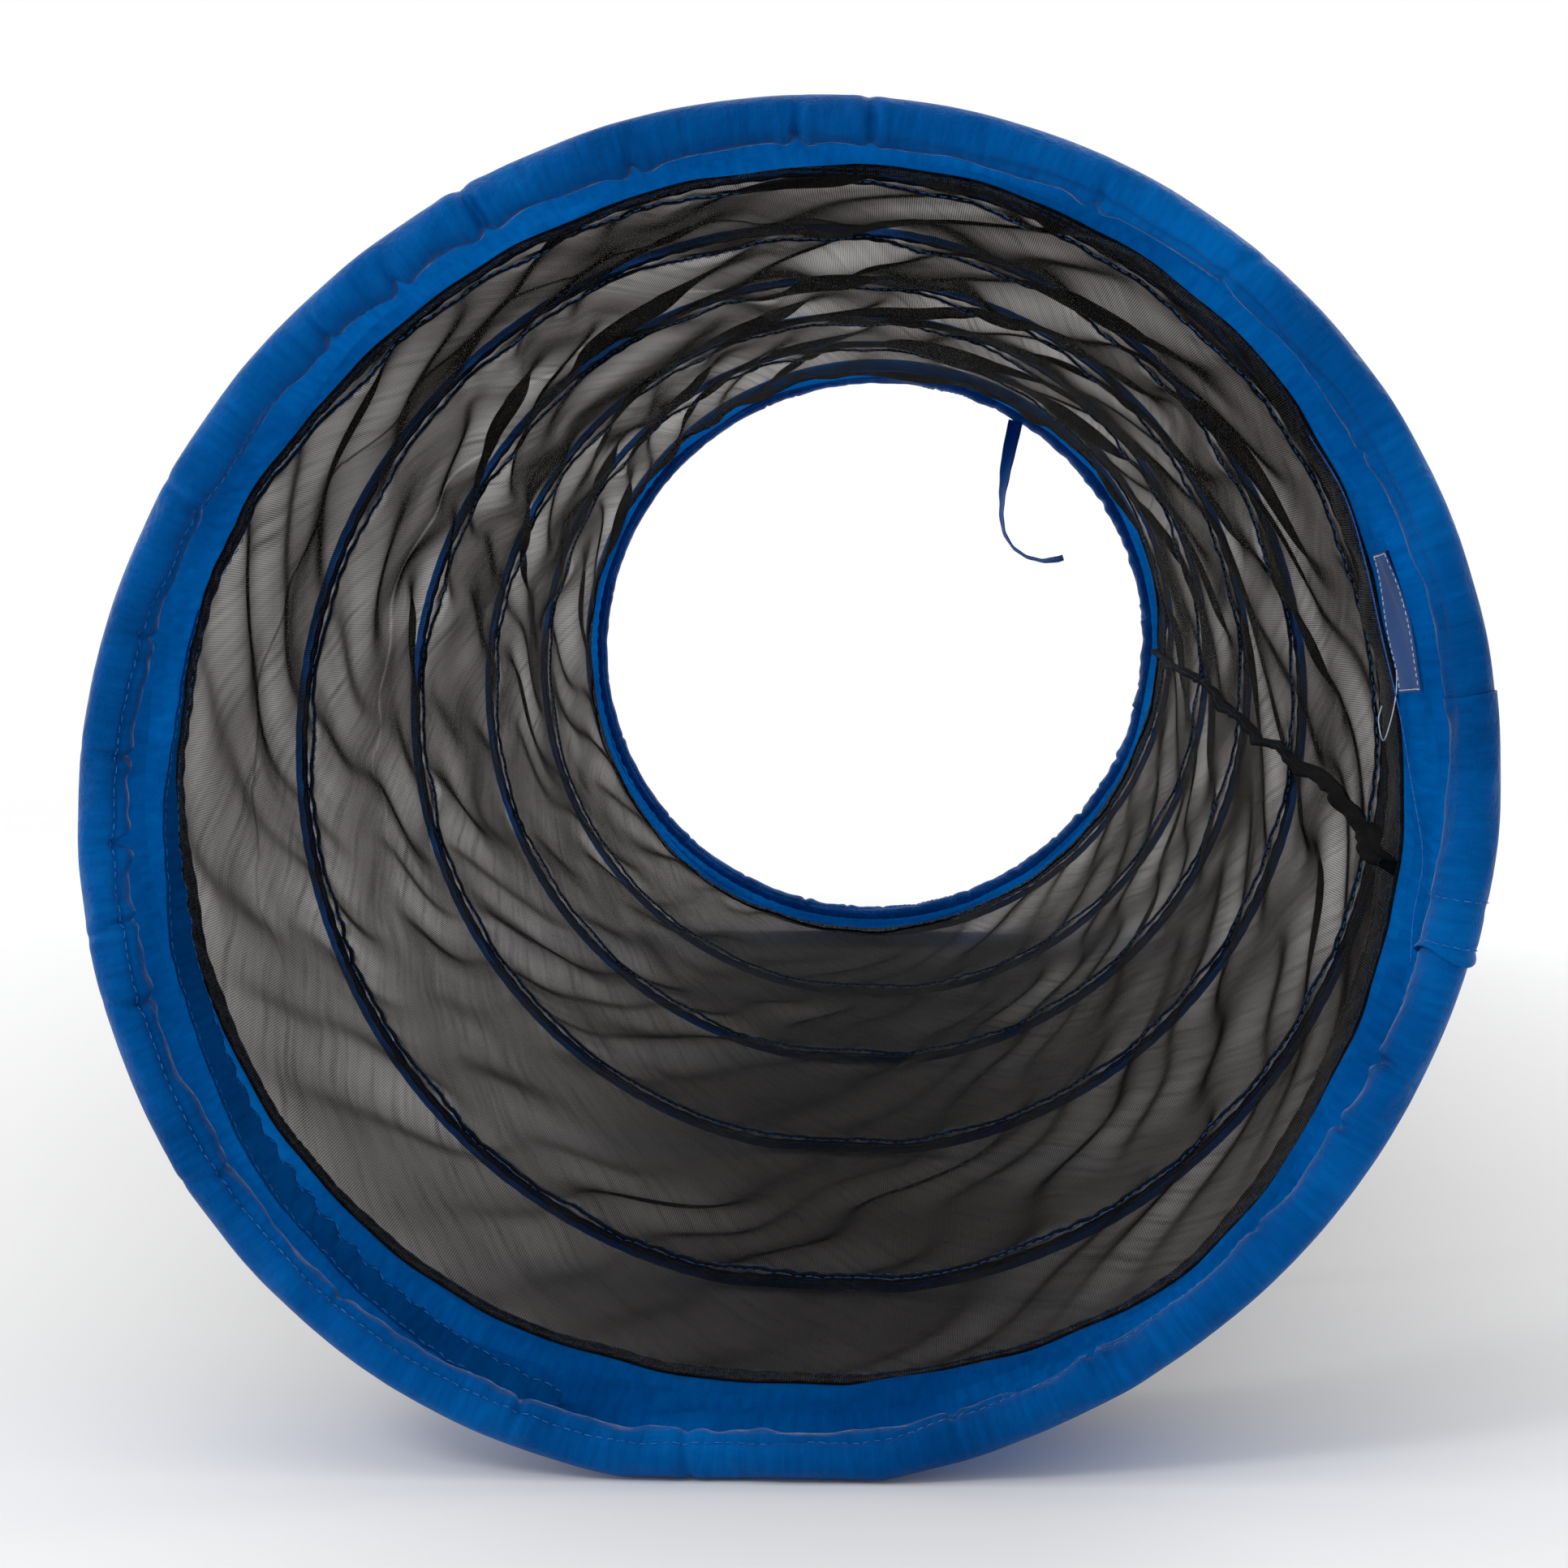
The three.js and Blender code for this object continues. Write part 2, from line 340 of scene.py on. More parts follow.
def shell(name, inside, outside, places, material):
    """A closed thin cloth between two grids of points."""
    rows, across = inside.shape[:2]
    sections = np.concatenate([inside, outside[:, ::-1]], axis=1)
    both = np.concatenate([places, places[:, ::-1]], axis=1)
    faces, uv = skin(sections, both, True, False)
    caps, cap_uv = [], []
    width = 2 * across
    for row, order in ((0, (0, 1, 2, 3)), (rows - 1, (3, 2, 1, 0))):
        base = row * width
        for j in range(across - 1):
            quad = [base + j, base + j + 1, base + width - 2 - j, base + width - 1 - j]
            length = [places[row, j], places[row, j + 1], places[row, j + 1], places[row, j]]
            caps.append([quad[k] for k in order])
            cap_uv.append([length[k] for k in order])
    faces = np.concatenate([faces, np.array(caps)[:, ::-1]])
    uv = np.concatenate([uv, np.array(cap_uv)[:, ::-1]])
    faces, uv = turn_out(sections, faces, uv)
    return make_piece(name, sections, faces, material, uv)


def joined_ring(name, points, places, closed, material):
    """A grid of points whose last row joins its first."""
    faces, uv = turn_out(points, *skin(points, places, closed, True))
    return make_piece(name, points, faces, material, uv)


def ring_shell(name, inside, outside, places, material):
    """A closed thin cloth that runs once round the tunnel."""
    sections = np.concatenate([inside, outside[:, ::-1]], axis=1)
    both = np.concatenate([places, places[:, ::-1]], axis=1)
    return joined_ring(name, sections, both, True, material)


def wall_lengths(angle, along):
    """Lengths on the cloth of points on the wall: round the tunnel, and along it."""
    return np.stack(np.broadcast_arrays(angle * WALL, along), axis=-1)


def circle(count, radius):
    around = np.linspace(0, TURN, count, endpoint=False)
    return np.stack([np.cos(around), np.sin(around)], axis=1) * radius


def tube(name, route, side, up, profile, material, ring=False):
    """A profile carried along a route. side and up are unit vectors at each of its points."""
    route, side, up = (np.asarray(a, float) for a in (route, side, up))
    profile = np.asarray(profile, float)
    if profile.ndim == 2:
        profile = np.broadcast_to(profile, (len(route), *profile.shape))
    sections = (
        route[:, None]
        + profile[:, :, 0:1] * side[:, None]
        + profile[:, :, 1:2] * up[:, None]
    )
    count = profile.shape[1]
    gone = np.concatenate([[0], np.cumsum(np.linalg.norm(np.diff(route, axis=0), axis=1))])
    girth = np.linalg.norm(profile[0] - np.roll(profile[0], 1, axis=0), axis=1).cumsum()
    places = np.stack(np.broadcast_arrays(gone[:, None], girth[None]), axis=-1)
    faces, uv = skin(sections, places, True, ring)
    if not ring:
        last = (len(route) - 1) * count
        half = count // 2
        ends = []
        for base, flip in ((0, False), (last, True)):
            for j in range(half - 1):
                quad = [base + j, base + j + 1, base + count - 2 - j, base + count - 1 - j]
                ends.append(quad if flip else quad[::-1])
        faces = np.concatenate([faces, np.array(ends)])
        uv = np.concatenate([uv, np.zeros((len(ends), 4, 2))])
    faces, uv = turn_out(sections, faces, uv)
    return make_piece(name, sections, faces, material, uv)


def frame_of(route):
    """Unit tangents of a route."""
    tangent = np.gradient(route, axis=0)
    return tangent / np.linalg.norm(tangent, axis=1)[:, None]


def radial(points):
    """Unit vectors away from the axis."""
    out = np.array(points, float)
    out[:, 1] = 0
    out[:, 2] -= AXIS_HEIGHT
    return out / np.linalg.norm(out, axis=1)[:, None]


def stitches(name, rows, material, length=2.6 * MM, gap=1.3 * MM, thick=0.42 * MM, seed=1):
    """Rows of sewn thread. Each row is (points, lift), and lift is the way off the cloth."""
    draw = np.random.default_rng(seed)
    profile = np.array([[1, 0], [0, 1], [-1, 0], [0, -1]]) * thick / 2
    shape = np.array([[-0.5, -0.35], [-0.3, 0.3], [0.3, 0.3], [0.5, -0.35]])
    all_points, all_faces, used = [], [], 0
    box = np.array([[i * 4 + j, i * 4 + (j + 1) % 4, i * 4 + 4 + (j + 1) % 4, i * 4 + 4 + j]
                    for i in range(3) for j in range(4)])
    box = np.concatenate([box, [[3, 2, 1, 0], [12, 13, 14, 15]]])
    for points, lift in rows:
        gone = np.concatenate([[0], np.cumsum(np.linalg.norm(np.diff(points, axis=0), axis=1))])
        step = length + gap
        count = int(gone[-1] / step)
        middles = (np.arange(count) + 0.5) * step + draw.uniform(-0.3, 0.3, count) * MM
        at = np.stack([np.interp(middles, gone, points[:, k]) for k in range(3)], axis=1)
        up = np.stack([np.interp(middles, gone, lift[:, k]) for k in range(3)], axis=1)
        ahead = np.stack([np.interp(middles + MM, gone, points[:, k]) for k in range(3)], axis=1)
        way = ahead - at
        way /= np.maximum(np.linalg.norm(way, axis=1)[:, None], 1e-9)
        side = np.cross(way, up)
        side /= np.maximum(np.linalg.norm(side, axis=1)[:, None], 1e-9)
        way = way + side * draw.uniform(-0.12, 0.12, count)[:, None]
        spans = length * draw.uniform(0.85, 1.1, count)[:, None, None, None]
        sections = (
            at[:, None, None]
            + shape[None, :, None, 0:1] * spans * way[:, None, None]
            + shape[None, :, None, 1:2] * thick * up[:, None, None]
            + profile[None, None, :, 0:1] * side[:, None, None]
            + profile[None, None, :, 1:2] * up[:, None, None]
        )
        all_points.append(sections.reshape(-1, 3))
        faces = box[None] + (np.arange(count) * 16 + used)[:, None, None]
        all_faces.append(faces.reshape(-1, 4))
        used += count * 16
    points, faces = np.concatenate(all_points), np.concatenate(all_faces)
    return make_piece(name, points, faces, material, np.zeros((len(faces), 4, 2)), smooth=True)


def sewn_on(line):
    """A row of sewing on the inner face of the wall, for stitches()."""
    return line - radial(line) * 0.2 * MM, -radial(line)


def soft(piece, slot):
    """A piece that moves with the near end, with a mesh of its own."""
    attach(piece, "near_end")
    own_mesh(piece)


def rigid(piece, body):
    """A piece that moves with one body and keeps its shape."""
    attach(piece, body)


# ---- materials

def add_node(tree, kind, inputs=None, **settings):
    """A shader node with its settings, and with its inputs linked or filled in."""
    node = tree.nodes.new("ShaderNode" + kind)
    for key, value in settings.items():
        setattr(node, key, value)
    for key, value in (inputs or {}).items():
        if isinstance(value, bpy.types.NodeSocket):
            tree.links.new(value, node.inputs[key])
        else:
            node.inputs[key].default_value = value
    return node


class Nodes:
    """Short calls for building a material's node tree."""

    def __init__(self, name):
        self.material = bpy.data.materials.new(name)
        self.material.use_nodes = True
        self.tree = self.material.node_tree
        self.tree.nodes.clear()
        self.output = self.add("OutputMaterial")

    def add(self, kind, inputs=None, **settings):
        return add_node(self.tree, kind, inputs, **settings)

    def math(self, operation, a, b=0.0):
        return self.add("Math", {0: a, 1: b}, operation=operation).outputs[0]

    def ramp(self, value, *stops):
        node = self.add("ValToRGB", {0: value})
        elements = node.color_ramp.elements
        while len(elements) < len(stops):
            elements.new(0.5)
        for element, (position, color) in zip(elements, stops):
            element.position = position
            element.color = (*color, 1) if len(color) == 3 else color
        return node.outputs[0]

    def noise(self, vector, scale, detail=2.0, rough=0.5):
        inputs = {"Vector": vector, "Scale": scale, "Detail": detail, "Roughness": rough}
        return self.add("TexNoise", inputs).outputs["Fac"]

    def stretched(self, vector, scale):
        return self.add("Mapping", {"Vector": vector, "Scale": scale}).outputs[0]

    def cloth(self):
        """Lengths on the cloth, in metres."""
        return self.add("UVMap", uv_map="cloth").outputs[0]

    def threads(self, vector, spacing, direction="X"):
        """Parallel threads, from 0 between them to 1 on top."""
        waves = {"Vector": vector, "Scale": TURN / (20 * spacing), "Distortion": 0.0}
        node = self.add("TexWave", waves, bands_direction=direction, wave_profile="SIN")
        return node.outputs["Fac"]

    def position(self):
        return self.add("TexCoord").outputs["Object"]

    def surface(self, shader):
        self.tree.links.new(shader, self.output.inputs["Surface"])
        return self.material


def woven(nodes, across, along, height, distance):
    """A plain weave's bump: threads both ways, over and under."""
    cloth = nodes.cloth()
    crossing = nodes.math("MULTIPLY", nodes.threads(cloth, across), nodes.threads(cloth, along, "Y"))
    inputs = {"Height": crossing, "Strength": height, "Distance": distance}
    return nodes.add("Bump", inputs)


def lit_through(n, color, bumped, glow, finish):
    """Thin cloth with a finish. glow is the share of its light that comes through from behind."""
    front = n.add("BsdfPrincipled", {"Base Color": color, "Normal": bumped, **finish})
    behind = n.add("BsdfTranslucent", {"Color": color, "Normal": bumped})
    mix = n.add("MixShader", {0: glow, 1: front.outputs[0], 2: behind.outputs[0]})
    return n.surface(mix.outputs[0])


def blue_cloth(name, gloss, glow, tone=1.0):
    """Thin nylon that glows with the light behind it. gloss is its shine, glow its share of light, and
    tone scales its colour: below 1 that darkening is painted shade.
    """
    n = Nodes(name)
    place_on = n.position()
    cloth = n.cloth()
    broad = n.noise(place_on, 13.0, 3.0)
    streaks = n.noise(n.stretched(cloth, (300, 40, 1)), 1.0, 4.0, 0.6)
    mixed = n.math("ADD", n.math("MULTIPLY", broad, 0.65), n.math("MULTIPLY", streaks, 0.35))
    color = n.ramp(mixed, (0.34, (0.0002 * tone, 0.058 * tone, 0.235 * tone)),
                   (0.50, (0.0003 * tone, 0.094 * tone, 0.355 * tone)),
                   (0.68, (0.0009 * tone, 0.150 * tone, 0.510 * tone)))
    weave = woven(n, 0.42 * MM, 0.42 * MM, 0.35, 0.12 * MM)
    crumple = n.noise(n.stretched(place_on, (55, 55, 55)), 1.0, 5.0, 0.66)
    inputs = {"Height": crumple, "Strength": 0.85, "Distance": 3.2 * MM, "Normal": weave.outputs[0]}
    bumped = n.add("Bump", inputs).outputs[0]
    rough = n.ramp(streaks, (0.3, (0.30,) * 3), (0.7, (0.44,) * 3))
    return lit_through(n, color, bumped, glow, {
        "Roughness": rough, "Specular IOR Level": gloss, "Specular Tint": (0.03, 0.34, 1.0, 1),
        "Sheen Weight": 0.08, "Sheen Roughness": 0.4, "Sheen Tint": (0.02, 0.35, 1.0, 1),
    })


def blue_tape(name, tone):
    """The closer woven tape over the spiral wire, and of the tie ribbon."""
    n = Nodes(name)
    place_on = n.position()
    broad = n.noise(place_on, 14.0, 3.0)
    color = n.ramp(broad, (0.3, (0.0008 * tone, 0.060 * tone, 0.27 * tone)),
                   (0.7, (0.0018 * tone, 0.105 * tone, 0.42 * tone)))
    weave = woven(n, 0.55 * MM, 0.55 * MM, 0.6, 0.2 * MM)
    crumple = n.noise(n.stretched(place_on, (120, 120, 120)), 1.0, 4.0)
    inputs = {"Height": crumple, "Strength": 0.45, "Distance": 0.8 * MM, "Normal": weave.outputs[0]}
    bumped = n.add("Bump", inputs).outputs[0]
    return lit_through(n, color, bumped, 0.2, {
        "Roughness": 0.55, "Specular IOR Level": 0.4, "Specular Tint": (0.05, 0.35, 1.0, 1),
        "Sheen Weight": 0.1, "Sheen Tint": (0.1, 0.4, 1.0, 1),
    })


def black_mesh(name, density, share):
    """See-through black mesh: the cloth's thickness holds back light that crosses it aslant."""
    n = Nodes(name)
    cloth = n.cloth()
    fine = n.threads(cloth, 0.93 * MM)
    cross = n.threads(cloth, 0.93 * MM, "Y")
    both = n.math("MAXIMUM", fine, n.math("MULTIPLY", cross, 0.45))
    slant = {"Vector": cloth, "Rotation": (0, 0, math.radians(24))}
    turned = n.add("Mapping", slant).outputs[0]
    # Slanted streaks that thicken the cover along the folds' slant: painted shade for the dark lines of
    # fine wrinkles.
    streaks = n.noise(n.stretched(turned, (260, 9, 1)), 1.0, 4.0, 0.62)
    cloudy = n.noise(n.stretched(turned, (34, 6, 1)), 1.0, 3.0)
    cover = n.math("ADD", n.math("MULTIPLY", both, 2.1 * share), 0.15 * share)
    painted_crease_streaks = n.ramp(streaks, (0.44, (0.75,) * 3), (0.58, (1.0,) * 3), (0.72, (1.9,) * 3))
    uneven = n.math("ADD", n.math("MULTIPLY", cloudy, 0.9), 0.55)
    cover = n.math("MULTIPLY", n.math("MULTIPLY", cover, painted_crease_streaks), uneven)
    color = n.ramp(cloudy, (0.3, (0.0065, 0.0058, 0.0055)), (0.7, (0.0150, 0.0134, 0.0128)))
    bump_node = n.add("Bump", {"Height": both, "Strength": 0.4, "Distance": 0.15 * MM})
    threads = n.add("BsdfPrincipled", {
        "Base Color": color, "Roughness": 0.6, "Specular IOR Level": 0.03,
        "Normal": bump_node.outputs[0],
    })
    clear = n.add("BsdfTransparent")
    mix = n.add("MixShader", {0: cover, 1: clear.outputs[0], 2: threads.outputs[0]})
    inside = n.add("VolumeAbsorption", {"Color": (0.05, 0.02, 0.0, 1), "Density": density})
    n.tree.links.new(inside.outputs[0], n.output.inputs["Volume"])
    return n.surface(mix.outputs[0])


def black_binding():
    """Folded black hems and the overlocked seam."""
    n = Nodes("black_binding")
    cross = n.noise(n.position(), 160.0, 3.0)
    color = n.ramp(cross, (0.3, (0.0022, 0.0023, 0.003)), (0.75, (0.0065, 0.007, 0.010)))
    weave = woven(n, 0.9 * MM, 0.9 * MM, 0.7, 0.25 * MM)
    shader = n.add("BsdfPrincipled", {
        "Base Color": color, "Roughness": 0.75, "Normal": weave.outputs[0],
        "Specular IOR Level": 0.06,
    })
    return n.surface(shader.outputs[0])


def thread(name, dark, light):
    """Twisted sewing thread."""
    n = Nodes(name)
    twist = n.noise(n.position(), 900.0, 2.0)
    color = n.ramp(twist, (0.3, dark), (0.7, light))
    twisted = n.add("Bump", {"Height": twist, "Strength": 0.5, "Distance": 0.1 * MM})
    shader = n.add("BsdfPrincipled", {
        "Base Color": color, "Roughness": 0.6, "Specular IOR Level": 0.15, "Normal": twisted.outputs[0],
    })
    return n.surface(shader.outputs[0])


def metal(name, dark, light, roughness):
    """Drawn metal, with fine marks along the wire."""
    n = Nodes(name)
    place_on = n.position()
    drawn = n.noise(n.stretched(place_on, (400, 60, 400)), 1.0, 4.0)
    color = n.ramp(drawn, (0.3, dark), (0.7, light))
    scratched = n.add("Bump", {"Height": drawn, "Strength": 0.3, "Distance": 0.05 * MM})
    shader = n.add("BsdfPrincipled", {
        "Base Color": color, "Metallic": 1.0, "Roughness": roughness, "Normal": scratched.outputs[0],
    })
    return n.surface(shader.outputs[0])


BLUE = blue_cloth("blue_cloth", 0.20, 0.24)
BAND = blue_cloth("blue_band", 0.0, 0.40)
TAPE = blue_tape("blue_tape", 1.0)
MESH = black_mesh("black_mesh", 330.0, 0.22)
BINDING = black_binding()
BLUE_THREAD = thread("blue_thread", (0.006, 0.09, 0.36), (0.04, 0.22, 0.62))
HEM_THREAD = thread("hem_thread", (0.004, 0.018, 0.06), (0.015, 0.055, 0.15))
WHITE_THREAD = thread("white_thread", (0.55, 0.57, 0.62), (0.85, 0.86, 0.9))
# The flap's blue is darkened to 0.62: painted shade of the channel seen through the band.
FLAP_PAINTED_SHADE = blue_cloth("blue_flap_painted_shade", 0.0, 0.05, 0.62)
STEEL = metal("spring_steel", (0.25, 0.26, 0.27), (0.45, 0.46, 0.48), 0.35)
CRIMP = metal("crimp_metal", (0.5, 0.51, 0.53), (0.72, 0.73, 0.75), 0.4)


# ---- the tie ribbon, a free cord inside the far rim

RIBBON_ROUTE = [  # x, along, height over the axis
    (116.5, 1821, 186),
    (113.5, 1819, 172),
    (109.5, 1817, 152),
    (107, 1815, 134),
    (105.5, 1813, 117),
    (106, 1810, 101),
    (110.5, 1806, 88),
    (119, 1802, 78.5),
    (130.5, 1799, 73),
    (143, 1797, 71.5),
    (155, 1796, 74),
]
RIBBON_WIDTH = 12 * MM


def spline(knots, count):
    """A smooth curve through the knots, sampled evenly enough."""
    knots = np.asarray(knots, float)
    padded = np.concatenate([[2 * knots[0] - knots[1]], knots, [2 * knots[-1] - knots[-2]]])
    at = np.linspace(0, len(knots) - 1, count)
    first = np.minimum(at.astype(int), len(knots) - 2)
    t = (at - first)[:, None]
    a, b, c, d = (padded[first + k] for k in range(4))
    square, cube = 2 * a - 5 * b + 4 * c - d, 3 * b - a - 3 * c + d
    return 0.5 * (2 * b + (c - a) * t + square * t**2 + cube * t**3)


def add_ribbon():
    """The ribbon hangs from the far rim, half turned, and curls up at its end."""
    knots = [(x * MM, NEAR_FACE + y * MM, AXIS_HEIGHT + z * MM) for x, y, z in RIBBON_ROUTE]
    path = spline(knots, 73)
    tangent = frame_of(path)
    share = np.linspace(0, 1, len(path))
    turn = np.interp(share, [0, 0.12, 0.38, 0.62, 0.85, 1], np.radians([8, 20, 72, 84, 78, 60]))
    level = np.cross(tangent, (0, 1, 0))
    level /= np.linalg.norm(level, axis=1)[:, None]
    depth = np.cross(tangent, level)
    side = level * np.cos(turn)[:, None] + depth * np.sin(turn)[:, None]
    up = np.cross(tangent, side)
    half = RIBBON_WIDTH / 2
    widths = np.linspace(-1, 1, 9)
    curl = 0.9 * MM * (widths**2 - 0.4)
    lower = [(w * half, c - 0.35 * MM) for w, c in zip(widths, curl)]
    upper = [(w * half, c + 0.35 * MM) for w, c in zip(widths[::-1], curl[::-1])]
    profile = np.broadcast_to(np.array(lower + upper), (len(path), 18, 2)).copy()
    taper = 1 - 0.25 * smooth_step(0.93, 1, share)
    profile[:, :, 0] *= taper[:, None]
    profile[:, :, 1] += (0.25 * MM * np.sin(60 * share))[:, None]
    ribbon = tube("tie_ribbon_cloth", path, side, up, profile, TAPE)
    rigid(ribbon, "far_end")
    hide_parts("tie_ribbon")


add_ribbon()


# ---- the padded rims

RIM_CREASES = [  # angle in degrees, how deep, how wide in degrees, slant
    (181.3, 0.7, 0.8, 0.1), (187.3, 0.55, 0.7, -0.3), (167.4, 0.7, 0.9, 0.5), (152.4, 1.0, 1.0, -0.2),
    (143.8, 0.8, 0.8, 0.3), (135.9, 0.6, 0.7, 0.2), (117, 0.45, 0.9, 0.5), (104, 0.5, 0.8, -0.3),
    (94, 0.6, 0.7, 0.2), (86.3, 1.2, 1.0, 0.0), (79, 0.5, 0.6, -0.4), (73, 0.6, 0.8, 0.5),
    (206.8, 0.6, 0.8, -0.6), (221, 0.35, 1.1, 0.8), (238, 0.3, 1.0, -0.7), (294, 0.7, 0.7, 0.5),
    (299.5, 0.6, 0.7, -0.4), (313, 0.35, 1.2, 0.9), (330.3, 0.6, 0.8, -0.5), (345, 0.4, 0.8, 0.4),
    (57, 0.45, 0.8, 0.5), (41, 0.4, 0.8, -0.5), (24, 0.45, 0.9, 0.4), (8, 0.4, 0.8, -0.4),
]


SLIT = math.radians(222)  # where the rim's cloth closes on the band


def casing_turn(angle, seed):
    """The angle that a rim's wrinkles go by, and how slack its cloth is there."""
    around = angle + (0.0 if seed == 1 else FAR_CASING_TURN)
    return around, smooth_step(-0.35, 0.85, np.cos(around - math.radians(50)))


def seam_section(slack):
    """Where the rim's stitched seam lies on its section."""
    return math.radians(236) + math.radians(78) * slack


def casing_surface(angle, section, seed):
    """(along, radius) of the padded rim, at angles round the tunnel and round its own section.
    section 0 faces the near side, a quarter turn faces out, and three quarters face the axis."""
    middle = CASING_WIDTH / 2
    draw = np.random.default_rng(seed)
    around, slack = casing_turn(angle, seed)
    puff = np.zeros(np.broadcast(angle, section).shape)
    calmer = 1.0 if seed == 1 else 0.35
    for degrees, depth, width, slant in RIM_CREASES:
        depth = depth * calmer
        lean = slant * np.sin(section - 0.6) * 0.026
        off = apart(around, math.radians(degrees) + lean) / math.radians(0.46 * width)
        reach = (0.5 + 0.5 * np.cos(section - draw.uniform(4.2, 6.0))) ** 1.5
        puff -= 4.2 * depth * reach * np.exp(-(off**2))
        puff += 1.5 * depth * reach * np.exp(-(((np.abs(off) - 3.1) / 1.8) ** 2))
    wrinkle = np.zeros_like(puff)
    for _ in range(46):
        rounds = int(draw.integers(26, 150))
        wrap = int(draw.integers(-3, 4))
        wrinkle += np.cos(rounds * around + wrap * section + draw.uniform(0, TURN)) * 12 / rounds
    seam_side = np.exp(-((apart(section, math.radians(285)) / 0.95) ** 2))
    face = 1 - 0.85 * np.exp(-((apart(section, math.radians(95)) / 0.85) ** 2))
    puff += wrinkle * (0.10 + 0.36 * slack * seam_side + 0.12 * seam_side) * face
    dents = 0.30 * np.cos(5 * around + 2 * np.sin(section) + 1)
    dents = dents + 0.28 * np.cos(8 * around - section + 2)
    dents += 0.55 * np.cos(13 * around + 2 * section) * np.cos(3 * around + 0.5)
    small = np.cos(29 * around - 2 * section + 1.2 * np.cos(7 * around))
    smaller = np.cos(41 * around + 3 * section + 1.5 * np.cos(4 * around))
    dents += 0.50 * small * np.cos(2 * around + 1) + 0.40 * smaller * np.cos(5 * around + 2)
    puff += dents * face * calmer
    puff -= (0.4 + 1.5 * slack) * np.exp(-((apart(section, seam_section(slack)) / 0.16) ** 2))
    rolled = hump(around, 228, 0.55) * calmer
    fold_at = math.radians(306) + 0.10 * np.sin(9 * around) + 0.06 * np.sin(23 * around + 1)
    fold_depth = 2.3 + 0.7 * np.sin(14 * around + 2)
    puff -= rolled * fold_depth * np.exp(-((apart(section, fold_at) / 0.24) ** 2))
    puff += 0.7 * rolled * np.exp(-((apart(section, fold_at + 0.5) / 0.28) ** 2))
    half = middle - 0.3 * MM + puff * MM
    if seed == 2:
        half = half + 2.4 * MM * (1 + 0.4 * np.cos(2 * angle)) * seam_side
    along = middle - half * np.cos(section) * (1 - 0.05 * np.cos(2 * section))
    radius = RIM_RADIUS - middle + half * np.sin(section)
    return np.clip(along, 0.05 * MM, None), np.minimum(radius, RIM_RADIUS + 1.2 * MM)


def casing_line(end, seed, turn, section, off):
    """A line at a small distance off the padded rim, and the way off its cloth."""
    along, radius = casing_surface(turn, section, seed)
    along, radius = along - np.cos(section) * off, radius + np.sin(section) * off
    line = place(from_end(along, end), radius, turn)
    up = radial(line) * np.sin(section)[:, None]
    up[:, 1] = -np.cos(section) if end == "near" else np.cos(section)
    return line, up


def add_casing(end):
    """The gathered cloth of a rim, its lap and its sewing."""
    seed = 1 if end == "near" else 2
    rounds, sides = 1240, 40
    angle = np.linspace(0, TURN, rounds, endpoint=False)[:, None]
    section = np.linspace(SLIT, SLIT + TURN, sides)[None]
    along, radius = casing_surface(angle, section, seed)
    points = place(from_end(along, end), radius, angle)
    lengths = np.broadcast_arrays(angle * RIM_RADIUS, section * CASING_WIDTH / 2)
    lengths = np.stack(lengths, axis=-1)
    casing = joined_ring(f"{end}_casing_cloth", points, lengths, False, BLUE)
    rigid(casing, f"{end}_end")
    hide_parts(f"{end}_rim_casing")
    lap = add_lap(end, seed)
    turn = np.linspace(0.02, TURN - 0.02, 900)
    section = seam_section(casing_turn(turn, seed)[1]) + 0.13
    rows = [casing_line(end, seed, turn, section, 0.2 * MM)]
    for share in (0.775, 0.955):  # two rows across the lap
        section = np.radians(np.linspace(-118, 118, 120))
        turn = np.full(120, LAP_FROM + (LAP_TO - LAP_FROM) * share)
        rows.append(casing_line(end, seed, turn, section, 1.15 * MM))
    seam = stitches(f"{end}_casing_stitches", rows, BLUE_THREAD, seed=seed)
    rigid(seam, f"{end}_end")


def add_lap(end, seed):
    """The casing's free end, lapped over its start and sewn down."""
    rounds, sides = 150, 56
    share = np.linspace(0, 1, rounds)[:, None]
    section = np.linspace(0, TURN, sides, endpoint=False)[None]
    angle = LAP_FROM + (LAP_TO - LAP_FROM) * share + 0 * section
    angle = angle + 0.008 * np.sin(section * 2 + 0.5) * share**8
    along, radius = casing_surface(angle, section, seed)
    middle = CASING_WIDTH / 2
    lift = 0.5 + 0.45 * share + 0.3 * np.sin(9 * share + 2 * section) * (1 - share)
    lift = lift + 0.9 * bump(share, 1.0, 0.03)
    dip = bump(share, 0.80, 0.03) + bump(share, 0.965, 0.02)
    lift = (lift - 0.35 * dip) * MM
    out_along, out_radius = middle - along, radius - (RIM_RADIUS - middle)
    size = np.maximum(np.hypot(out_along, out_radius), 1e-6)

    def layer(extra):
        a = along - out_along / size * (lift + extra)
        r = radius + out_radius / size * (lift + extra)
        a = np.maximum(a, -1.6 * MM)
        return place(from_end(a, end), r, angle)

    inner, outer = layer(-0.25 * MM), layer(0.25 * MM)
    points = np.concatenate([inner, outer[::-1]])
    lengths = np.stack(np.broadcast_arrays(angle * RIM_RADIUS, section * middle), axis=-1)
    both = np.concatenate([lengths, lengths[::-1]])
    lap = joined_ring(f"{end}_lap_cloth", points, both, True, BLUE)
    rigid(lap, f"{end}_end")
    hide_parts(f"{end}_casing_lap")
    return lap


add_casing("near")
add_casing("far")


# ---- the blue bands

